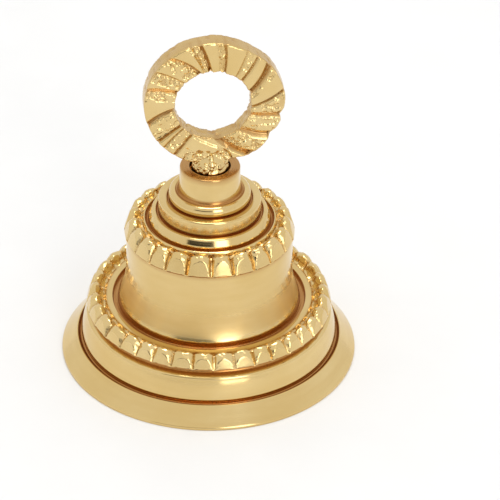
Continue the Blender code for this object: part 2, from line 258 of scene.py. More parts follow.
# ---------------------------------------------------------------- materials
class Nodes:
    """A short way to write a node tree."""

    def __init__(self, name):
        self.mat = bpy.data.materials.new(name)
        self.mat.use_nodes = True
        self.tree = self.mat.node_tree
        self.shader = self.tree.nodes["Principled BSDF"]

    def node(self, kind, **settings):
        n = self.tree.nodes.new(kind)
        for key, value in settings.items():
            setattr(n, key, value)
        return n

    def link(self, a, b):
        self.tree.links.new(a, b)

    def value(self, socket, value):
        if hasattr(value, "links") or hasattr(value, "is_output"):
            self.link(value, socket)
        else:
            socket.default_value = value

    def math(self, op, a, b=None, c=None, clamp=False):
        n = self.node("ShaderNodeMath", operation=op, use_clamp=clamp)
        for socket, v in zip(n.inputs, (a, b, c)):
            if v is not None:
                self.value(socket, v)
        return n.outputs[0]

    def attribute(self, name):
        return self.node("ShaderNodeAttribute", attribute_name=name).outputs["Fac"]

    def coords(self):
        return self.node("ShaderNodeTexCoord").outputs["Object"]

    def noise(self, vector, scale, detail=3.0, rough=0.5, w=None, distortion=0.0):
        n = self.node("ShaderNodeTexNoise")
        if w is not None:
            n.noise_dimensions = "4D"
            self.value(n.inputs["W"], w)
        self.link(vector, n.inputs["Vector"])
        n.inputs["Scale"].default_value = scale
        n.inputs["Detail"].default_value = detail
        n.inputs["Roughness"].default_value = rough
        n.inputs["Distortion"].default_value = distortion
        return n.outputs["Fac"]

    def ramp(self, fac, stops, interpolation="LINEAR"):
        n = self.node("ShaderNodeValToRGB")
        n.color_ramp.interpolation = interpolation
        while len(n.color_ramp.elements) < len(stops):
            n.color_ramp.elements.new(0.5)
        for e, (at, colour) in zip(n.color_ramp.elements, stops):
            e.position = at
            e.color = (*colour, 1.0) if len(colour) == 3 else colour
        self.link(fac, n.inputs["Fac"])
        return n.outputs["Color"]

    def span(self, fac, low, high, to_low, to_high):
        n = self.node("ShaderNodeMapRange", clamp=True)
        self.value(n.inputs["Value"], fac)
        for key, v in zip(("From Min", "From Max", "To Min", "To Max"), (low, high, to_low, to_high)):
            self.value(n.inputs[key], v)
        return n.outputs["Result"]

    def mix(self, fac, a, b, blend="MIX"):
        n = self.node("ShaderNodeMix", data_type="RGBA", blend_type=blend)
        self.value(n.inputs[0], fac)
        for socket, v in ((n.inputs[6], a), (n.inputs[7], b)):
            if isinstance(v, tuple):
                v = (*v, 1.0)
            self.value(socket, v)
        return n.outputs[2]

    def bump(self, height, distance_mm, strength=1.0, normal=None):
        n = self.node("ShaderNodeBump")
        n.inputs["Strength"].default_value = strength
        n.inputs["Distance"].default_value = distance_mm * MM
        self.link(height, n.inputs["Height"])
        if normal is not None:
            self.link(normal, n.inputs["Normal"])
        return n.outputs["Normal"]

    def lathe_coords(self, across, along):
        """Coordinates that hardly change round the turning axis: (vector, w)."""
        sep = self.node("ShaderNodeSeparateXYZ")
        self.link(self.coords(), sep.inputs[0])
        x, y, z = sep.outputs
        r = self.math("SQRT", self.math("ADD", self.math("MULTIPLY", x, x), self.math("MULTIPLY", y, y)))
        safe = self.math("MAXIMUM", r, 1e-5)
        c, s = self.math("DIVIDE", x, safe), self.math("DIVIDE", y, safe)
        n = self.node("ShaderNodeCombineXYZ")
        self.link(self.math("MULTIPLY", r, across / MM), n.inputs[0])
        self.link(self.math("MULTIPLY", z, across / MM), n.inputs[1])
        self.link(self.math("MULTIPLY", c, along), n.inputs[2])
        return n.outputs[0], self.math("MULTIPLY", s, along)


GOLD = (0.705, 0.505, 0.208)
GOLD_DEEP = (0.62, 0.415, 0.145)
GOLD_PALE = (0.76, 0.575, 0.275)
# The last two colours are painted shade: brown for the clefts and recesses of cast brass, dark brown for the grooves of
# turned brass.
RECESS_SHADE_TONE = (0.40, 0.18, 0.045)
GROOVE_SHADE_TONE = (0.40, 0.16, 0.035)


def turned_brass(name="polished_turned_brass"):
    """Bright lathe-turned brass: fine turning lines, faint clouding, and painted shade (a dark brown base colour) in
    the grooves.
    """
    n = Nodes(name)
    painted_shade = n.attribute("painted_shade")
    vec, w = n.lathe_coords(3.2, 1.2)
    lines = n.noise(vec, 1.0, 4.0, 0.6, w)
    vec2, w2 = n.lathe_coords(0.35, 2.0)
    broad = n.noise(vec2, 1.0, 2.0, 0.5, w2)
    cloud = n.noise(n.coords(), 38.0, 4.0, 0.55)
    pits = n.noise(n.coords(), 900.0, 2.0, 0.5)
    tone = n.mix(n.span(cloud, 0.3, 0.7, 0.0, 1.0), GOLD, GOLD_PALE)
    tone = n.mix(n.span(broad, 0.35, 0.75, 0.0, 0.30), tone, GOLD_DEEP)
    # Painted shade: the base colour is pulled to dark brown in the grooves marked by the mask, in place of the dark
    # that light bouncing inside a narrow groove gives.
    groove_shade_amount = n.math("MULTIPLY", painted_shade, n.span(lines, 0.2, 0.7, 1.0, 0.72))
    tone = n.mix(groove_shade_amount, tone, GROOVE_SHADE_TONE)
    n.link(tone, n.shader.inputs["Base Color"])
    rough = n.span(lines, 0.25, 0.75, 0.075, 0.15)
    rough = n.math("ADD", rough, n.span(cloud, 0.55, 0.8, 0.0, 0.05))
    rough = n.math("ADD", rough, n.math("MULTIPLY", painted_shade, 0.14))
    sep = n.node("ShaderNodeSeparateXYZ")
    n.link(n.coords(), sep.inputs[0])
    height = sep.outputs[2]
    foot = n.math("MULTIPLY", n.span(height, 0.0215, 0.0235, 0.0, 1.0), n.span(height, 0.028, 0.037, 1.0, 0.0))
    tiers = n.math("MULTIPLY", n.span(height, 0.0550, 0.0556, 0.0, 1.0), n.span(height, 0.0590, 0.0600, 1.0, 0.0))
    rough = n.math("ADD", rough, n.math("ADD", n.math("MULTIPLY", foot, 0.24), n.math("MULTIPLY", tiers, 0.12)))
    n.link(rough, n.shader.inputs["Roughness"])
    low = n.bump(lines, 0.012, 0.35)
    n.link(n.bump(n.span(pits, 0.28, 0.36, 0.0, 1.0), 0.02, 0.25, low), n.shader.inputs["Normal"])
    n.shader.inputs["Metallic"].default_value = 1.0
    return n.mat


def cast_brass(name, deep=1.0):
    """Cast and buffed brass: bright on the high flats, pitted in the recesses, with painted shade (a brown base colour)
    in the recesses.
    """
    n = Nodes(name)
    painted_shade = n.attribute("painted_shade")
    grain = n.noise(n.coords(), 620.0, 4.0, 0.62)
    lumps = n.noise(n.coords(), 210.0, 3.0, 0.5)
    cloud = n.noise(n.coords(), 60.0, 3.0, 0.5)
    tone = n.mix(n.span(cloud, 0.3, 0.7, 0.0, 1.0), GOLD, GOLD_PALE)
    # Painted shade: the base colour is pulled to brown where the mask marks a cleft or recess.
    dark = n.math("MULTIPLY", n.span(painted_shade, 0.35, 1.0, 0.0, 0.85 * deep), n.span(lumps, 0.2, 0.75, 1.0, 0.55))
    tone = n.mix(dark, tone, RECESS_SHADE_TONE)
    n.link(tone, n.shader.inputs["Base Color"])
    rough = n.math("ADD", n.span(grain, 0.3, 0.7, 0.13, 0.22), n.math("MULTIPLY", painted_shade, 0.12))
    n.link(rough, n.shader.inputs["Roughness"])
    amount = n.span(painted_shade, 0.0, 0.6, 0.12, 1.0)
    height = n.math("MULTIPLY", grain, amount)
    n.link(n.bump(height, 0.10, 0.5), n.shader.inputs["Normal"])
    n.shader.inputs["Metallic"].default_value = 1.0
    return n.mat


def raw_brass(name="as_cast_brass"):
    """The unpolished inside of the casting: dull, grainy, with darker patches."""
    n = Nodes(name)
    grain = n.noise(n.coords(), 900.0, 5.0, 0.65)
    patch = n.noise(n.coords(), 55.0, 5.0, 0.6, distortion=0.6)
    vec, w = n.lathe_coords(1.1, 1.5)
    tool = n.noise(vec, 1.0, 3.0, 0.5, w)
    tone = n.ramp(patch, [(0.25, (0.30, 0.20, 0.085)), (0.5, (0.46, 0.32, 0.135)), (0.75, (0.58, 0.42, 0.19))])
    n.link(tone, n.shader.inputs["Base Color"])
    n.link(n.span(patch, 0.3, 0.7, 0.52, 0.34), n.shader.inputs["Roughness"])
    low = n.bump(grain, 0.12, 0.7)
    n.link(n.bump(tool, 0.10, 0.5, low), n.shader.inputs["Normal"])
    n.shader.inputs["Metallic"].default_value = 1.0
    return n.mat


def worn_brass(name, polish=0.22):
    """Turned brass that has gone a little dull, with bright rubbed patches."""
    n = Nodes(name)
    vec, w = n.lathe_coords(2.2, 1.4)
    lines = n.noise(vec, 1.0, 4.0, 0.6, w)
    patch = n.noise(n.coords(), 150.0, 5.0, 0.6, distortion=0.4)
    nicks = n.noise(n.coords(), 700.0, 3.0, 0.5)
    tone = n.ramp(patch, [(0.3, (0.43, 0.285, 0.11)), (0.5, (0.60, 0.42, 0.17)), (0.68, (0.72, 0.53, 0.24))])
    n.link(tone, n.shader.inputs["Base Color"])
    n.link(n.span(patch, 0.35, 0.7, polish + 0.16, polish), n.shader.inputs["Roughness"])
    low = n.bump(lines, 0.03, 0.5)
    n.link(n.bump(n.span(nicks, 0.3, 0.42, 0.0, 1.0), 0.04, 0.35, low), n.shader.inputs["Normal"])
    n.shader.inputs["Metallic"].default_value = 1.0
    return n.mat


def plated_steel(name="zinc_plated_steel"):
    """Zinc-plated hardware: grey, faintly yellow, with dull and rubbed patches."""
    n = Nodes(name)
    patch = n.noise(n.coords(), 320.0, 5.0, 0.6, distortion=0.5)
    grain = n.noise(n.coords(), 1500.0, 3.0, 0.5)
    tone = n.ramp(patch, [(0.28, (0.36, 0.34, 0.30)), (0.5, (0.53, 0.52, 0.49)), (0.72, (0.66, 0.65, 0.62))])
    n.link(tone, n.shader.inputs["Base Color"])
    n.link(n.span(patch, 0.3, 0.7, 0.42, 0.24), n.shader.inputs["Roughness"])
    n.link(n.bump(grain, 0.03, 0.5), n.shader.inputs["Normal"])
    n.shader.inputs["Metallic"].default_value = 1.0
    return n.mat


def floor_material():
    n = Nodes("pale_floor")
    soft = n.noise(n.coords(), 30.0, 3.0, 0.5)
    n.link(n.mix(n.span(soft, 0.3, 0.7, 0.0, 1.0), (0.80, 0.80, 0.798), (0.82, 0.82, 0.818)), n.shader.inputs["Base Color"])
    n.link(n.span(soft, 0.3, 0.7, 0.62, 0.7), n.shader.inputs["Roughness"])
    return n.mat


M_TURNED = turned_brass()
M_BEAD = cast_brass("cast_bead_brass", 0.7)
M_RING = cast_brass("cast_ring_brass", 1.0)
M_RAW = raw_brass()
M_BALL = worn_brass("clapper_brass", 0.20)
M_WASHER = worn_brass("washer_brass", 0.28)
M_STEEL = plated_steel()

# -------------------------------------------------------------- bell casting
COARSE, FINE = 150, 600  # steps round the bell, on plain turning and on beads
UPPER_BEADS, LOWER_BEADS = 24, 36

# Sections of the outside, top to bottom. A new section starts at a crisp edge.
TOP = BOSS_TOP
OUTSIDE = [
    ("plain", 0.9, [(3.4, 65.6), (6.8, 65.6)]),
    ("plain", 1.4, [(6.8, 65.6), (6.8, TOP - 0.35)]),
    ("plain", 0.25, [(6.8, TOP - 0.35), (6.9, TOP - 0.1), (7.15, TOP)]),
    ("plain", 0.9, [(7.15, TOP), (9.6, TOP)]),
    ("plain", 0.2, [(9.6, TOP), (9.9, TOP - 0.12), (10.05, TOP - 0.45)]),
    ("plain", 1.0, [(10.05, TOP - 0.45), (10.1, 68.5), (10.25, 65.2)]),
    ("plain", 0.25, [(10.25, 65.2), (10.35, 64.2), (10.6, 63.5), (11.0, 63.1), (11.35, 63.3)]),
    ("plain", 0.3, [(11.35, 63.3), (11.8, 63.6), (12.3, 63.65), (13.0, 63.35), (13.5, 62.7), (13.75, 61.7), (13.75, 60.5)]),
    ("plain", 0.25, [(13.75, 60.5), (13.65, 59.8), (13.85, 59.45), (14.2, 59.6), (14.4, 60.1)]),
    ("plain", 0.5, [(14.4, 60.1), (15.6, 60.35), (16.6, 60.35)]),
    ("plain", 0.2, [(16.6, 60.35), (16.95, 60.22), (17.15, 59.85)]),
    ("plain", 0.7, [(17.15, 59.85), (17.2, 57.5), (17.15, 55.4)]),
    ("plain", 0.25, [(17.15, 55.4), (17.15, 54.75), (17.4, 54.4), (17.8, 54.6), (18.05, 55.15)]),
    ("plain", 0.25, [(18.05, 55.15), (18.9, 55.2), (19.25, 55.0), (19.5, 54.6)]),
    ("plain", 0.25, [(19.5, 54.6), (20.3, 52.9), (20.35, 52.5), (20.3, 52.0)]),
    ("plain", 0.25, [(20.3, 52.0), (20.35, 51.3), (20.75, 50.95), (21.2, 51.15), (21.45, 51.8)]),
    ("plain", 0.22, [(21.45, 51.8), (21.75, 52.2), (22.1, 52.15), (22.35, 51.75)]),
    ("upper", 0.29, [(22.35, 51.75), (22.6, 51.15), (22.95, 50.95), (23.35, 51.3), (23.85, 52.25), (24.6, 52.95), (25.6, 53.0), (26.4, 52.5), (27.0, 51.9), (27.64, 51.2), (28.25, 50.4), (28.97, 49.0), (29.63, 47.5), (29.95, 46.8)]),
    ("plain", 0.2, [(28.5, 46.8), (28.15, 46.5), (27.6, 46.25), (27.85, 45.9)]),
    ("plain", 1.3, [(27.85, 45.9), (27.95, 44.5), (27.97, 39.0), (28.05, 33.0)]),
    ("plain", 0.35, [(28.05, 33.0), (28.25, 30.2), (28.65, 27.2), (29.2, 24.9), (29.85, 23.1), (30.5, 21.8)]),
    ("plain", 0.25, [(30.5, 21.8), (30.6, 20.4), (30.9, 19.7), (31.7, 19.8), (32.4, 19.7), (32.65, 20.2), (32.75, 20.8)]),
    ("plain", 0.5, [(32.75, 20.8), (33.6, 20.95), (34.8, 20.9)]),
    ("lower", 0.30, [(34.8, 20.9), (35.1, 20.4), (35.7, 20.2), (36.2, 20.7), (36.7, 21.9), (37.4, 22.95), (38.3, 23.4), (39.3, 23.1), (40.1, 22.45), (40.84, 21.7), (41.44, 20.9), (41.97, 20.0), (42.4, 19.2), (42.7, 18.6)]),
    ("plain", 0.28, [(41.35, 18.6), (40.5, 18.2), (39.5, 17.7), (39.1, 16.9), (39.4, 16.1), (40.25, 15.7)]),
    ("plain", 0.2, [(40.25, 15.7), (40.8, 15.5), (41.35, 15.2), (41.55, 14.9), (41.62, 14.65)]),
    ("plain", 0.6, [(41.62, 14.65), (42.3, 12.6), (42.85, 10.5), (43.2, 8.6), (43.35, 7.5)]),
    ("plain", 0.2, [(43.35, 7.5), (43.2, 6.7), (42.85, 6.1), (43.1, 5.65), (43.7, 5.6), (44.2, 5.85), (44.45, 6.45)]),
    ("plain", 0.2, [(44.45, 6.45), (44.6, 6.62), (44.9, 6.66)]),
    ("plain", 0.6, [(44.9, 6.66), (46.2, 5.2), (47.5, 3.74), (48.8, 2.28), (49.85, 1.1)]),
    ("plain", 0.2, [(49.85, 1.1), (49.97, 0.9), (49.98, 0.7), (49.98, 0.2), (49.85, 0.0)]),
    ("plain", 1.1, [(49.85, 0.0), (46.3, 0.0)]),
]
# Grooves darkened with painted shade: (radius, height, reach, strength).
RECESSES = [
    (8.0, 72.45, 3.2, 0.85), (10.6, 63.6, 1.1, 1.0), (13.9, 59.7, 0.9, 1.0), (17.4, 54.8, 0.95, 1.0),
    (20.8, 51.3, 1.15, 1.0), (22.9, 51.1, 0.9, 1.0), (27.8, 46.3, 0.55, 1.0), (31.0, 20.2, 1.3, 1.0),
    (32.1, 20.0, 1.1, 1.0), (35.7, 20.5, 1.3, 1.0), (39.5, 16.9, 2.0, 1.0), (43.45, 6.1, 1.4, 1.0),
]
INSIDE = [
    ("raw", 2.2, [(46.3, 0.0), (44.0, 1.3), (41.9, 3.1), (40.2, 5.6), (39.1, 9.4), (38.0, 13.0), (36.0, 15.7), (32.6, 17.8), (29.2, 19.4), (27.0, 21.1), (25.6, 23.2), (25.0, 26.0), (24.8, 31.0), (24.7, 37.0), (24.6, 42.0), (23.6, 45.2), (21.4, 47.9), (18.6, 50.6), (15.8, 53.4), (13.9, 55.7), (12.6, 56.8), (11.6, 57.0)]),
    ("raw", 0.8, [(11.6, 57.0), (8.9, 57.0)]),
    ("raw", 0.3, [(8.9, 57.0), (8.6, 57.3)]),
    ("raw", 1.2, [(8.6, 57.3), (8.6, 61.5)]),
    ("raw", 1.2, [(8.6, 61.5), (3.7, 61.5)]),
    ("raw", 0.3, [(3.7, 61.5), (3.4, 61.8)]),
    ("raw", 1.0, [(3.4, 61.8), (3.4, 65.3)]),
]


# Clefts between beads, in degrees round the bell, where the spacing is uneven;
# the rest of each band is shared out evenly.
BEADS = {
    "upper": dict(count=UPPER_BEADS, clefts=[-156, -140.5, -127, -111.5, -94.5, -79.5, -64, -50, -33],
                  turned=28.55, foot_z=46.8, top=5.7, deep=2.3, seed=7),
    "lower": dict(count=LOWER_BEADS, clefts=[-152.8, -141.7, -132.2, -122.8, -113.7, -103.3, -93.3, -83.6, -73.9, -65, -55.6, -46.7, -37.8, -28.9],
                  turned=41.4, foot_z=18.6, top=4.6, deep=1.75, seed=19),
}


def all_clefts(cfg):
    known = np.array(cfg["clefts"], float)
    left = cfg["count"] - (len(known) - 1)
    rest = np.linspace(known[-1], known[0] + 360.0, left + 1)[1:-1]
    rng = np.random.default_rng(cfg["seed"])
    rest = rest + rng.uniform(-0.5, 0.5, len(rest))
    return np.concatenate([known, rest])


def dome(u):
    """0 at the middle of a bead and 1 at the cleft beside it."""
    return (1 - np.sqrt(1 - 0.9 * np.clip(np.abs(u), 0, 1) ** 2)) / (1 - math.sqrt(0.1))


def bead_cut(deg, s, cfg, length):
    """How far the bead pattern cuts in, in mm. Each bead is a rounded knuckle whose
    outer face was turned flat, which leaves a flat arch on it."""
    clefts = all_clefts(cfg)
    d = (deg - clefts[0]) % 360.0 + clefts[0]
    k = np.searchsorted(clefts, d, side="right") - 1
    nxt = np.append(clefts[1:], clefts[0] + 360.0)
    rng = np.random.default_rng(cfg["seed"] + 1)
    vary = {key: rng.uniform(-1, 1, len(clefts)) for key in ("deep", "cleft", "out", "tilt")}
    mid, half = 0.5 * (clefts + nxt)[k], 0.5 * (nxt - clefts)[k]
    u = (d - mid) / half
    u = u + 0.10 * vary["tilt"][k] * (1 - u**2)
    side = np.where(u > 0, vary["cleft"][(k + 1) % len(clefts)], vary["cleft"][k])
    deep = cfg["deep"] * (1 + 0.16 * side)
    cutin = dome(u) * deep + 0.10 + 0.10 * vary["out"][k]
    share = np.clip(dome(u) * 1.35 - 0.35, 0, 1)
    high = smooth(cfg["top"] - 1.2, cfg["top"] + 0.6, s)
    inner = smooth(length - 0.2, length - 2.0, s)
    return cutin * (0.3 + 0.7 * inner), share, high


def bell_rows():
    rows = []  # (r, z, nr, nz, kind, s): s is the height up the band from its foot
    for kind, step, pts in OUTSIDE + INSIDE:
        line = spline(pts, step)
        tangent = np.gradient(line, axis=0)
        tangent /= np.linalg.norm(tangent, axis=1)[:, None]
        seg = np.linalg.norm(np.diff(line, axis=0), axis=1)
        s = np.concatenate([[0], np.cumsum(seg)])
        s = s[-1] - s
        for i, (p, t) in enumerate(zip(line[:-1], tangent[:-1])):
            # going down the outside, the outward normal is to the right of the path
            rows.append((p[0], p[1], -t[1], t[0], kind, s[i], i == 0))
    return rows


def build_bell():
    rows = bell_rows()
    verts, starts, counts, painted_shade, kinds = [], [], [], [], []
    rngs = {k: BEADS[k]["seed"] for k in BEADS}
    n_total = 0
    for r, z, nr, nz, kind, s, first in rows:
        fine = kind in BEADS and not first
        steps = FINE if fine else COARSE
        th = np.arange(steps) * TAU / steps
        rr, zz = np.full(steps, r), np.full(steps, z)
        row_shade = np.zeros(steps)
        if fine:
            cfg, length = BEADS[kind], cfg_length(kind)
            depth, share, high = bead_cut(np.degrees(th), np.full(steps, s), cfg, length)
            x, y, zc = r * np.cos(th), r * np.sin(th), np.full(steps, z)
            lumps = fractal(x, y, zc, 1.3, 3, 2) * 0.34 * high
            lumps = lumps + fractal(x, y, zc, 0.8, 5, 2) * 0.10 * np.clip(depth / 0.3, 0, 1)
            lumps = lumps + noise3(x, y, zc, 3.0, 17) * 0.03
            pits = np.clip(noise3(x, y, zc, 0.9, 11) - 0.6, 0, 1) * 0.3
            edge = smooth(0.0, 0.4, s) * smooth(length, length - 1.2, s)
            total = (depth + np.maximum(lumps, -0.08) + pits) * edge
            rr = rr - nr * total
            zz = zz - nz * total
            flat = cfg["turned"] - 0.31 * (zz - cfg["foot_z"])
            cast = smooth(-0.05, 0.12, flat - rr)
            rr = np.minimum(rr, flat + 0.012 * noise3(x, y, zc, 2.0, 23))
            # Painted shade: the mask darkens the clefts between beads, the gap at the inner foot of the band and, a
            # little, the as-cast tops of the knuckles.
            share = share * cast
            gap = smooth(length - 1.9, length - 1.0, s) * smooth(length, length - 0.5, s)
            row_shade = np.maximum(np.clip(share, 0, 1) * edge, 0.9 * gap)
            row_shade = np.maximum(row_shade, 0.20 * high * cast)
        else:
            # Painted shade in the turned grooves listed in RECESSES.
            near = max(t * (1 - smooth(0.45 * w, w, math.hypot(r - a, z - b))) for a, b, w, t in RECESSES)
            row_shade = row_shade + (near if kind != "raw" else 0.0)
        verts.append(np.stack([rr * np.cos(th), rr * np.sin(th), zz], 1))
        painted_shade.append(row_shade)
        starts.append(n_total)
        counts.append(steps)
        kinds.append(kind)
        n_total += steps
    faces, index = [], []
    slot_of = {"plain": 0, "upper": 1, "lower": 1, "raw": 2}
    n = len(rows)
    for i in range(n):
        j = (i + 1) % n
        a, b, ca, cb = starts[i], starts[j], counts[i], counts[j]
        mat = slot_of[kinds[i]]
        if ca == cb:
            k = np.arange(ca)
            k2 = (k + 1) % ca
            f = np.stack([a + k, b + k, b + k2, a + k2], 1).tolist()
        else:
            many = max(ca, cb) // min(ca, cb)
            f = []
            for k in range(min(ca, cb)):
                k2 = (k + 1) % min(ca, cb)
                if ca < cb:
                    run = [b + (k * many + m) % cb for m in range(many + 1)]
                    f.append([a + k, *run, a + k2])
                else:
                    run = [a + (k * many + m) % ca for m in range(many + 1)]
                    f.append([b + k, b + k2, *run[::-1]])
        faces += f
        index += [mat] * len(f)
    v = np.vstack(verts)
    bell = new_object(
        "bell_casting", v, faces, [M_TURNED, M_BEAD, M_RAW], sharp=32.0,
        index=index, attrs={"painted_shade": np.concatenate(painted_shade)},
    )
    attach(bell, "bell")
    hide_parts("bell_shell")
    return bell


def cfg_length(kind, _cache={}):
    if kind not in _cache:
        pts = next(p for k, _, p in OUTSIDE if k == kind)
        line = spline(pts, 0.26)
        _cache[kind] = float(np.linalg.norm(np.diff(line, axis=0), axis=1).sum())
    return _cache[kind]


# -------------------------------------------------------------- hanging ring
# Angles run counter-clockwise from +X, seen from the front.
# Clefts between the rope strands: (angle at the rim, angle at the hole, depth, half width).
CLEFTS = [
    (-12.5, -18.5, 0.95, 2.0), (11.0, -6.0, 0.75, 1.5), (38.7, 18.5, 1.0, 2.9), (50.7, 43.0, 0.60, 1.4),
    (61.0, 54.0, 0.40, 1.2), (81.0, 73.0, 0.65, 1.4), (88.0, 80.0, 0.35, 1.1), (102.0, 94.0, 0.95, 1.6),
    (109.5, 103.0, 0.45, 1.1), (130.0, 109.0, 0.85, 1.8), (146.0, 137.0, 0.45, 1.2), (164.5, 155.0, 1.0, 2.0),
    (197.0, 185.0, 0.95, 2.3), (216.0, 214.0, 0.85, 1.5), (224.0, 221.0, 0.55, 1.2), (235.5, 237.0, 0.70, 1.4),
    (302.0, 277.0, 1.2, 3.6), (326.0, 312.0, 1.0, 3.0),
]
# Rough, raised casting skin between two lines: (rim, hole, rim, hole, strength).
ROUGH = [
    (-11.0, -17.0, 10.0, -8.0, 0.9), (29.0, 8.0, 36.0, 15.0, 0.8), (52.0, 44.0, 60.0, 53.0, 0.6),
    (82.0, 74.0, 88.0, 80.0, 0.9), (103.0, 95.0, 113.5, 102.5, 1.0), (131.0, 110.0, 141.0, 131.0, 1.0),
    (146.0, 138.0, 155.0, 153.0, 1.0), (166.0, 157.0, 174.0, 171.0, 1.0), (198.0, 187.0, 213.0, 212.0, 0.6),
    (225.0, 222.0, 234.0, 236.0, 0.7), (303.0, 280.0, 322.0, 308.0, 1.0), (328.0, 315.0, 345.0, 340.0, 0.6),
]
# Where the rim stands in or out of its circle: (angle, mm).
RIM = [(0, 0.30), (10, 0.35), (22, 0.0), (32, 0.1), (42, -0.15), (52, -0.6), (64, -0.6), (78, -0.3), (90, 0.0), (104, 0.0),
       (116, 0.25), (135, 0.30), (160, 0.20), (178, -0.05), (200, -0.2), (230, -0.2), (262, 0.0), (284, -1.3), (291, -1.1),
       (300, 0.1), (311, 0.15), (321, -0.2), (328, -1.1), (335, -0.2), (342, 0.0), (348, -0.9), (354, 0.1), (360, 0.30)]


def between(deg, q, rim, hole):
    """Signed angle from the line that runs from hole to rim, in degrees."""
    return (deg - (hole + (rim - hole) * q) + 180.0) % 360.0 - 180.0


def strand_field(deg, q):
    """(cleft 0..1.2, fall 0..1, rough 0..1) over the ring's face. q: 0 hole, 1 rim."""
    cleft, fall, rough = np.zeros_like(deg), np.zeros_like(deg), np.zeros_like(deg)
    for rim, hole, depth, half in CLEFTS:
        a = between(deg, q, rim, hole)
        wide = half * (2.1 - 0.6 * q)
        v = np.clip(1 - np.abs(a) / wide, 0, 1)
        cleft = np.maximum(cleft, depth * v)
        # the strand after each cleft starts low and climbs
        fall = np.maximum(fall, depth * smooth(-0.6, 0.4, a) * smooth(10.0 * depth + 2.0, 1.0, a))
    for r0, h0, r1, h1, strength in ROUGH:
        a, b = between(deg, q, r0, h0), between(deg, q, r1, h1)
        inside = smooth(0.0, 1.2, a) * smooth(0.4, -1.2, b) * (np.abs(a) < 60) * (np.abs(b) < 60)
        rough = np.maximum(rough, inside * strength)
    return cleft, fall, rough


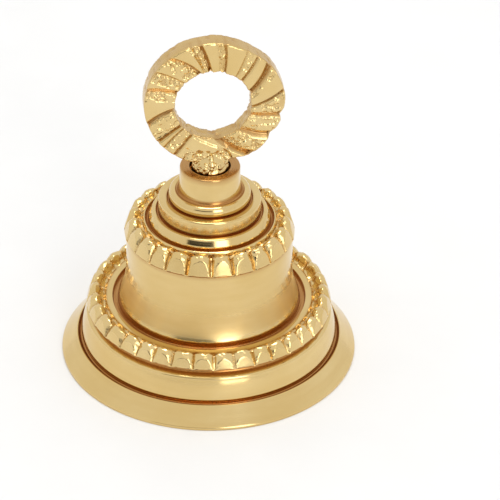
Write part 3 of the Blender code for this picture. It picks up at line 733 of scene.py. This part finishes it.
def build_ring():
    half_t, corner = RING_T / 2, 0.55
    shift_x, centre_z, r_out = 0.92, RING_C, RING_OUT - 0.1
    hole_x, hole_z, r_in = 0.55, RING_C - 0.3, RING_IN - 0.15
    width = r_out - r_in

    # section path: (radial from the hole, axial), starting at the middle of the rim
    def run(a, b, step):
        n = max(1, int(round(math.dist(a, b) / step)))
        return [(a[0] + (b[0] - a[0]) * i / n, a[1] + (b[1] - a[1]) * i / n) for i in range(n)]

    def bend(cx, cy, a0, a1, n=4):
        return [(cx + corner * math.cos(math.radians(a0 + (a1 - a0) * i / n)), cy + corner * math.sin(math.radians(a0 + (a1 - a0) * i / n))) for i in range(n)]

    step, wide_step = 0.21, 0.5
    path = run((width, 0), (width, -half_t + corner), wide_step)
    path += bend(width - corner, -half_t + corner, 0, -90)
    path += run((width - corner, -half_t), (corner, -half_t), step)
    path += bend(corner, -half_t + corner, -90, -180)
    path += run((0, -half_t + corner), (0, half_t - corner), wide_step)
    path += bend(corner, half_t - corner, 180, 90)
    path += run((corner, half_t), (width - corner, half_t), step)
    path += bend(width - corner, half_t - corner, 90, 0)
    path += run((width, half_t - corner), (width, 0), wide_step)
    path = np.array(path)
    nxt, prv = np.roll(path, -1, 0), np.roll(path, 1, 0)
    tan = nxt - prv
    tan /= np.linalg.norm(tan, axis=1)[:, None]
    nor = np.stack([-tan[:, 1], tan[:, 0]], 1)
    centre = np.array([width / 2, 0.0])
    if ((path - centre) * nor).sum() < 0:
        nor = -nor
    steps = 640
    deg = np.arange(steps) * 360.0 / steps
    D, Q = np.meshgrid(deg, path[:, 0] / width, indexing="ij")
    P0 = np.broadcast_to(path[:, 0], D.shape)
    P1 = np.broadcast_to(path[:, 1], D.shape)
    N0 = np.broadcast_to(nor[:, 0], D.shape)
    N1 = np.broadcast_to(nor[:, 1], D.shape)
    Qc = np.clip(Q, 0, 1)
    # the back is the same strands seen from behind, turned a little
    back = P1 > 0
    D_here = np.where(back, D + 7.0, D)
    cleft, fall, rough = strand_field(D_here, Qc)
    face = np.abs(N1) ** 1.2  # 1 on the two faces, 0 on the rim and in the hole
    rim = np.clip(N0, 0, 1) ** 2
    hole = np.clip(-N0, 0, 1) ** 2
    ang = np.radians(D)
    rim_off = np.interp(D, [a for a, _ in RIM], [b for _, b in RIM])
    cx, cz = hole_x + (shift_x - hole_x) * Qc, hole_z + (centre_z - hole_z) * Qc
    rad = r_in + P0 + rim_off * Qc**2
    X, Y, Z = rad * np.cos(ang), P1, rad * np.sin(ang)
    lumps = fractal(X, Y, Z, 1.5, 41, 3)
    fine = fractal(X, Y, Z, 0.6, 57, 2)
    wave = fractal(X, Y, Z, 6.0, 73, 2)
    pits = np.clip(noise3(X, Y, Z, 0.9, 91) - 0.66, 0, 1)
    # a smooth tongue above the foot, ending in a raised edge
    edge_r = np.interp(D, [238, 242, 262, 275, 281, 286], [13.2, 13.9, 15.2, 16.9, 21.8, 24.0])
    tongue = smooth(238, 241, D) * smooth(287, 284, D)
    past = smooth(0.0, 1.3, edge_r - (r_in + P0)) * tongue
    foot_skin = smooth(238, 246, D) * smooth(288, 280, D) * smooth(0.45, 0.62, Qc)
    rough = np.where(back, rough, np.maximum(rough, foot_skin * 0.95))
    bumps = 0.50 - 1.5 * np.clip(lumps + 0.15, 0.0, 0.5) + 0.25 * fine
    cutin = 1.25 * cleft * (face + 0.4 * hole + 0.14 * rim)
    cutin += (0.25 * fall + rough * np.maximum(bumps, 0.0)) * (face + 0.3 * hole + 0.15 * rim)
    cutin += 0.55 * past * (1 - 0.6 * cleft) * face * ~back
    cutin += 0.06 * wave + 0.35 * pits * (face + 0.5 * hole + 0.4 * rim)
    cutin += hole * (0.40 * np.clip(lumps + 0.1, 0.0, 1) + 0.18 * np.clip(fine, 0, 1))
    corner_zone = np.clip(np.abs(N0 * N1) * 2, 0, 1)
    cutin += corner_zone * 0.30 * np.clip(lumps + 0.1, 0, 1)
    cutin = np.maximum(cutin, -0.03)
    rad2 = rad - N0 * cutin
    Y2 = P1 - N1 * cutin
    X2, Z2 = cx + rad2 * np.cos(ang), cz + rad2 * np.sin(ang)
    Z2 = np.minimum(Z2, RING_HIGH.z)
    v = np.stack([X2, Y2, Z2], -1).reshape(-1, 3)
    faces = grid_faces(steps, len(path), wrap_rows=True, wrap_cols=True)
    # Painted shade: darker in the clefts, on the step behind the tongue's edge and in the dips of the rough skin; the
    # rim and the hole are made darker overall.
    painted_shade = np.clip(cleft * 1.7, 0, 1) * (0.2 + 0.8 * face) + 0.35 * past * face * ~back + 0.62 * rim + 0.68 * hole
    painted_shade = np.maximum(painted_shade, rough * np.clip(bumps * 1.3, 0.0, 0.62) * face + 0.55 * hole * smooth(0.0, 0.4, lumps))
    ring = new_object("rope_ring", v, faces, [M_RING], sharp=None, attrs={"painted_shade": painted_shade.reshape(-1)})

    # round foot that drops into the socket, with the tapped hole up its middle
    def lumpy(r, z, th):
        x, y = r * np.cos(th), r * np.sin(th)
        amount = smooth(72.3, 73.4, z)
        bump = fractal(x, y, z + 0 * th, 1.35, 5, 2)
        grow = (1.15 * np.clip(bump + 0.1, 0.0, 0.6) - 0.42) * amount
        return r + grow, z + grow * 0.8 * smooth(75.0, 78.0, z)

    prof = [(0.0, 79.6)]
    prof += [tuple(p) for p in spline([(0.6, 79.6), (1.9, 79.3), (3.1, 78.6), (4.3, 77.5), (5.2, 76.2), (5.85, 74.6), (6.1, 73.4), (6.15, 72.4)], 0.28)]
    prof += [tuple(p) for p in spline([(6.15, 72.4), (6.15, FOOT_LOW + 0.4)], 0.6)[1:]]
    prof += [(6.0, FOOT_LOW + 0.12), (5.7, FOOT_LOW), (3.6, FOOT_LOW), (0.0, FOOT_LOW)]
    foot = lathe("ring_foot", prof, 200, [M_RING], sharp=None, radial=lumpy)
    union(ring, foot)
    hole_prof = [(0.0, 76.5), (2.9, 76.5), (3.3, 76.1), (3.3, FOOT_LOW + 0.35), (3.7, FOOT_LOW - 0.05), (3.7, 60.0), (0.0, 60.0)]
    drill = lathe("ring_drill", hole_prof, 72, [M_RING], sharp=None)
    cut(ring, drill)
    ring.data.set_sharp_from_angle(angle=math.radians(55))
    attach(ring, "hanger")
    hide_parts("hanging_ring")
    return ring


# ------------------------------------------------- bolt, nuts, washers, link
def box_mm(node):
    low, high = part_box(node)
    return low / MM, high / MM


def build_washer(name, node, mat):
    low, high = box_mm(node)
    r1, r0, z0, z1 = high.x, 3.3, low.z, high.z
    c = 0.22
    prof = [(r0 + c * 0.5, z1), (r1 - c, z1), (r1 - 0.3 * c, z1 - 0.3 * c), (r1, z1 - c), (r1, z0 + c)]
    prof += [(r1 - 0.3 * c, z0 + 0.3 * c), (r1 - c, z0), (r0 + c * 0.5, z0), (r0, z0 + c * 0.5), (r0, z1 - c * 0.5)]
    obj = lathe(name, prof, 96, [mat], closed=True, sharp=50)
    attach(obj, "hanger")
    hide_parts(node)
    return obj


def build_nut(name, node, flats, bore, turn, body):
    low, high = box_mm(node)
    z0, z1 = low.z, high.z
    steps = 144
    th = np.arange(steps) * TAU / steps
    local = (th - math.radians(turn) + math.pi / 6) % (math.pi / 3) - math.pi / 6
    # corners lie at turn + 0, 60, 120 ... degrees
    local = (th - math.radians(turn)) % (math.pi / 3) - math.pi / 6
    hexr = 0.5 * flats / np.cos(local)
    rc = 0.5 * flats * 0.985
    drop = np.clip(hexr - rc, 0, None) * math.tan(math.radians(30))
    c = 0.07 * flats * 0.5
    rows = [
        (np.full(steps, bore), np.full(steps, z0 + c)),
        (np.full(steps, bore + c), np.full(steps, z0)),
        (np.full(steps, rc), np.full(steps, z0)),
        (hexr - 0.03, z0 + drop), (hexr, z0 + drop + 0.06),
        (hexr, z1 - drop - 0.06), (hexr - 0.03, z1 - drop),
        (np.full(steps, rc), np.full(steps, z1)),
        (np.full(steps, bore + c), np.full(steps, z1)),
        (np.full(steps, bore), np.full(steps, z1 - c)),
    ]
    v = np.concatenate([np.stack([r * np.cos(th), r * np.sin(th), z], 1) for r, z in rows])
    faces = grid_faces(len(rows), steps, wrap_rows=True)
    obj = new_object(name, v, faces, [M_STEEL], sharp=24)
    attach(obj, body)
    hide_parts(node)
    return obj


def thread(name, r, z0, z1, pitch, depth, runout=1.2, steps=48):
    """A threaded rod with a chamfered tip: a helix cut in its wall."""
    rows = int((z1 - z0) / pitch * 12)
    z = np.linspace(z0, z1, rows + 1)
    th = np.arange(steps) * TAU / steps
    Z, T = np.meshgrid(z, th, indexing="ij")
    phase = (Z / pitch - T / TAU) % 1.0
    tri = np.abs(phase * 2 - 1)
    cutin = depth * np.clip(tri * 1.25 - 0.12, 0, 1)
    cutin = cutin * smooth(z0, z0 + runout, Z)
    R = r - cutin
    R = np.minimum(R, r - 0.1 * r - 0.0 + (z1 - Z) * 1.0 + 0.0)
    v = np.stack([R * np.cos(T), R * np.sin(T), Z], -1).reshape(-1, 3)
    faces = [tuple(f) for f in grid_faces(len(z), steps)]
    low, top = len(v), len(v) + 1
    v = np.vstack([v, [[0, 0, z0], [0, 0, z1]]])
    last = (len(z) - 1) * steps
    for j in range(steps):
        k = (j + 1) % steps
        faces.append((low, k, j))
        faces.append((top, last + j, last + k))
    return new_object(name, v, faces, [M_STEEL], sharp=None)


def ring_tube(name, major, minor, z, mats, steps=120, sides=28, seam=None):
    """A wire ring whose hole runs along X, with a forged seam bump if asked."""
    a = np.arange(steps) * TAU / steps
    b = np.arange(sides) * TAU / sides
    A, B = np.meshgrid(a, b, indexing="ij")
    wire = np.full_like(A, minor)
    if seam is not None:
        wire = wire * (1 + 0.05 * np.exp(-(((A - seam + math.pi) % TAU - math.pi) / 0.12) ** 2))
    x = wire * np.sin(B)
    rad = major + wire * np.cos(B)
    x = x * (1 + 0.0 * fractal(rad * np.cos(A), x, rad * np.sin(A), 1.5, 3, 1))
    v = np.stack([x, rad * np.cos(A), z + rad * np.sin(A)], -1).reshape(-1, 3)
    return new_object(name, v, grid_faces(steps, sides, wrap_rows=True), mats, sharp=None)


def build_eye_bolt():
    low, high = box_mm("eye_bolt")
    wire = high.x if high.x < 2.9 else 1.5
    wire = 1.5
    eye_out = 0.5 * (high.y - low.y)
    major = eye_out - wire
    eye_z = low.z + eye_out
    bolt = ring_tube("eye_bolt_forged", major, wire, eye_z, [M_STEEL])
    neck_top = eye_z + eye_out + 0.5
    neck = [(0.0, neck_top + 2.0), (2.6, neck_top + 2.0), (2.95, neck_top + 1.4), (2.95, neck_top)]
    neck += [tuple(p) for p in spline([(2.95, neck_top), (2.7, neck_top - 0.9), (2.2, neck_top - 1.5), (1.6, neck_top - 1.9)], 0.3)[1:]]
    neck += [(0.0, neck_top - 2.0)]
    union(bolt, lathe("bolt_neck", neck, 48, [M_STEEL], sharp=None))
    union(bolt, thread("bolt_thread", 3.0, neck_top + 0.8, high.z, 1.0, 0.5))
    bolt.data.set_sharp_from_angle(angle=math.radians(48))
    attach(bolt, "hanger")
    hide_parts("eye_bolt")
    return bolt


def build_link():
    low, high = box_mm("hanger_link")
    wire = 0.5 * (high.y - low.y)
    half_w = 0.5 * (high.x - low.x) - wire
    half_h = 0.5 * (high.z - low.z) - wire
    centre = 0.5 * (high.z + low.z)
    straight = half_h - half_w
    steps, sides = 160, 24
    length = TAU * half_w + 4 * straight
    pts, tans = [], []
    for i in range(steps):
        s = length * i / steps
        quarter = math.pi * half_w
        if s < straight:  # up the right side from the middle
            p, t = (half_w, s), (0, 1)
        elif s < straight + quarter:
            a = (s - straight) / half_w
            p, t = (half_w * math.cos(a), straight + half_w * math.sin(a)), (-math.sin(a), math.cos(a))
        elif s < 3 * straight + quarter:
            p, t = (-half_w, straight - (s - straight - quarter)), (0, -1)
        elif s < 3 * straight + 2 * quarter:
            a = (s - 3 * straight - quarter) / half_w
            p, t = (-half_w * math.cos(a), -straight - half_w * math.sin(a)), (math.sin(a), -math.cos(a))
        else:
            p, t = (half_w, -straight + (s - 3 * straight - 2 * quarter)), (0, 1)
        pts.append(p)
        tans.append(t)
    pts, tans = np.array(pts), np.array(tans)
    nrm = np.stack([tans[:, 1], -tans[:, 0]], 1)
    s = np.arange(steps) / steps
    weld = np.exp(-(((s - 0.5 + 0.5) % 1.0 - 0.5) / 0.012) ** 2)  # a weld at one side
    weld = np.exp(-(np.minimum(s, 1 - s) / 0.014) ** 2)
    b = np.arange(sides) * TAU / sides
    r = wire * (1 + 0.16 * weld)[:, None]
    x = pts[:, :1] + nrm[:, :1] * r * np.cos(b)
    z = pts[:, 1:] + nrm[:, 1:] * r * np.cos(b) + centre
    y = r * np.sin(b) * (1 - 0.14 * weld[:, None])
    v = np.stack([x, y, z], -1).reshape(-1, 3)
    link = new_object("oval_link", v, grid_faces(steps, sides, wrap_rows=True), [M_STEEL], sharp=None)
    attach(link, "link")
    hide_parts("hanger_link")
    return link


def build_clapper():
    low, high = box_mm("clapper_stem")
    wire = 1.2
    eye_out = 0.5 * (high.y - low.y)
    major = eye_out - wire
    eye_z = high.z - eye_out
    ball_low, ball_high = box_mm("clapper_ball")
    ball_r = 0.5 * (ball_high.x - ball_low.x)
    ball_z = 0.5 * (ball_high.z + ball_low.z)
    flat = 0.5 * (ball_high.z - ball_low.z)
    stem = ring_tube("clapper_stem_forged", major, wire, eye_z, [M_STEEL])
    top = eye_z - major + 0.4
    collar = ball_high.z + 0.3
    rod = [(0.0, top)]
    rod += [tuple(p) for p in spline([(1.1, top - 0.05), (1.75, top - 0.9), (1.95, top - 1.9), (1.75, top - 3.0), (1.6, top - 4.0)], 0.3)]
    rod += [tuple(p) for p in spline([(1.6, top - 4.0), (1.6, collar + 1.7)], 1.2)[1:]]
    rod += [tuple(p) for p in spline([(1.6, collar + 1.7), (1.8, collar + 1.35), (2.3, collar + 1.2)], 0.2)[1:]]
    rod += [(2.8, collar + 1.2), (2.95, collar + 1.05), (3.0, collar + 0.9), (3.0, collar + 0.2), (2.85, collar), (1.6, collar)]
    rod += [(1.6, ball_low.z + 1.5), (1.45, ball_low.z + 1.3), (0.0, ball_low.z + 1.3)]
    union(stem, lathe("clapper_rod", rod, 56, [M_STEEL], sharp=None))
    tip = thread("clapper_thread", 1.5, 0.0, 3.9, 0.5, 0.26, 0.3, 40)
    # the helix is made tip up, then turned over so that its tip points down
    tip.data.transform(Matrix.Rotation(math.pi, 4, "X"))
    tip.data.transform(Matrix.Translation(Vector((0, 0, (low.z + 3.9) * MM))))
    union(stem, tip)
    stem.data.set_sharp_from_angle(angle=math.radians(48))
    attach(stem, "clapper")
    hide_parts("clapper_stem")

    rim = math.acos(flat / ball_r)
    prof = [(1.9, ball_z + flat - 0.25), (2.15, ball_z + flat)]
    edge = ball_r * math.sin(rim)
    prof += [(edge - 0.35, ball_z + flat)]
    for i in range(0, 73):
        a = rim + 0.035 + (math.pi - 2 * rim - 0.07) * i / 72
        r, z = ball_r * math.sin(a), ball_z + ball_r * math.cos(a)
        g = math.exp(-(((a - math.pi / 2) / 0.018) ** 2))  # turned witness line
        prof.append((r - 0.12 * g, z))
    prof += [(edge - 0.35, ball_z - flat), (2.15, ball_z - flat), (1.9, ball_z - flat + 0.25)]
    dents = []
    rng = np.random.default_rng(5)
    for _ in range(26):
        t = rng.uniform(0, TAU)
        dents.append((t, ball_z + rng.uniform(0.5, 4.5), rng.uniform(0.35, 0.8), rng.uniform(0.03, 0.09)))

    def worn(r, z, th):
        out = r + 0 * th
        for t, dz, size, deep in dents:
            gap = (th - t + math.pi) % TAU - math.pi
            d2 = (gap * r) ** 2 + (z - dz) ** 2
            out = out - deep * np.exp(-d2 / size**2) * (r > 4)
        return out, z + 0 * th

    ball = lathe("clapper_striker", prof, 144, [M_BALL], closed=True, sharp=40, radial=worn)
    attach(ball, "clapper")
    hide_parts("clapper_ball")
    build_nut("stem_end_nut", "clapper_end_nut", 5.5, 1.8, 0.0, "clapper")


build_bell()
build_ring()
build_washer("thrust_washer", "socket_washer", M_WASHER)
build_washer("crown_plate_washer", "crown_washer", M_WASHER)
build_nut("crown_hex_nut", "crown_nut", 10.0, 3.3, 0.0, "hanger")
build_nut("lock_hex_nut", "lock_nut", 10.0, 3.3, 22.0, "hanger")
build_eye_bolt()
build_link()
build_clapper()


# ------------------------------------------------------------ floor and light
def build_stage():
    bpy.ops.mesh.primitive_plane_add(size=6.0, location=(0, 0, 0))
    floor = bpy.context.active_object
    floor.name = "floor"
    floor.data.materials.append(floor_material())

    world = bpy.data.worlds.new("soft_tent")
    bpy.context.scene.world = world
    world.use_nodes = True
    tree = world.node_tree
    back = tree.nodes["Background"]
    coord = tree.nodes.new("ShaderNodeTexCoord")
    sep = tree.nodes.new("ShaderNodeSeparateXYZ")
    tree.links.new(coord.outputs["Generated"], sep.inputs[0])

    def m(op, a, b=None, clamp=False):
        n = tree.nodes.new("ShaderNodeMath")
        n.operation, n.use_clamp = op, clamp
        for socket, v in zip(n.inputs, (a, b)):
            if v is None:
                continue
            if hasattr(v, "is_output"):
                tree.links.new(v, socket)
            else:
                socket.default_value = v
        return n.outputs[0]

    def band(value, a, b, edge):
        """1 between a and b, with soft edges."""
        up = m("DIVIDE", m("SUBTRACT", value, a), edge, True)
        down = m("DIVIDE", m("SUBTRACT", b, value), edge, True)
        return m("MULTIPLY", up, down)

    x, y, z = sep.outputs
    # azimuth in degrees from the camera's side, positive to the right
    orbit = math.radians(-6.0)
    fx = m("ADD", m("MULTIPLY", x, math.sin(orbit)), m("MULTIPLY", y, -math.cos(orbit)))
    sx = m("ADD", m("MULTIPLY", x, math.cos(orbit)), m("MULTIPLY", y, math.sin(orbit)))
    azimuth = m("MULTIPLY", m("ARCTAN2", sx, fx), 180 / math.pi)
    height = m("MULTIPLY", m("ARCSINE", z), 180 / math.pi)
    dark = m("MULTIPLY", band(azimuth, -42.0, 9.0, 3.0), band(height, 9.0, 24.0, 3.0))
    lamp = m("MULTIPLY", band(azimuth, 9.0, 36.0, 5.0), band(height, -2.0, 40.0, 6.0))
    glow = m("MULTIPLY", band(azimuth, 8.0, 34.0, 10.0), band(height, 48.0, 76.0, 10.0))
    level = m("ADD", 0.93, m("ADD", m("MULTIPLY", lamp, 3.0), m("MULTIPLY", glow, 0.42)))
    level = m("MULTIPLY", level, m("SUBTRACT", 1.0, m("MULTIPLY", dark, 0.95)))
    path = tree.nodes.new("ShaderNodeLightPath")
    seen = path.outputs["Is Camera Ray"]
    level = m("ADD", m("MULTIPLY", level, m("SUBTRACT", 1.0, seen)), m("MULTIPLY", seen, 1.0))
    tree.links.new(level, back.inputs["Strength"])
    back.inputs["Color"].default_value = (1.0, 0.995, 0.985, 1.0)

    def area(name, place, aim, size, power):
        data = bpy.data.lights.new(name, "AREA")
        data.shape = "RECTANGLE"
        data.size, data.size_y = size
        data.energy = power
        lamp = bpy.data.objects.new(name, data)
        bpy.context.scene.collection.objects.link(lamp)
        lamp.location = place
        lamp.rotation_mode = "QUATERNION"
        lamp.rotation_quaternion = (Vector(aim) - Vector(place)).to_track_quat("-Z", "Y")
        return lamp

    area("top_softbox", (0.0, 0.05, 1.1), (0, 0, 0.05), (0.5, 0.36), 3.6)
    scene = bpy.context.scene
    scene.view_settings.view_transform = "Standard"


build_stage()
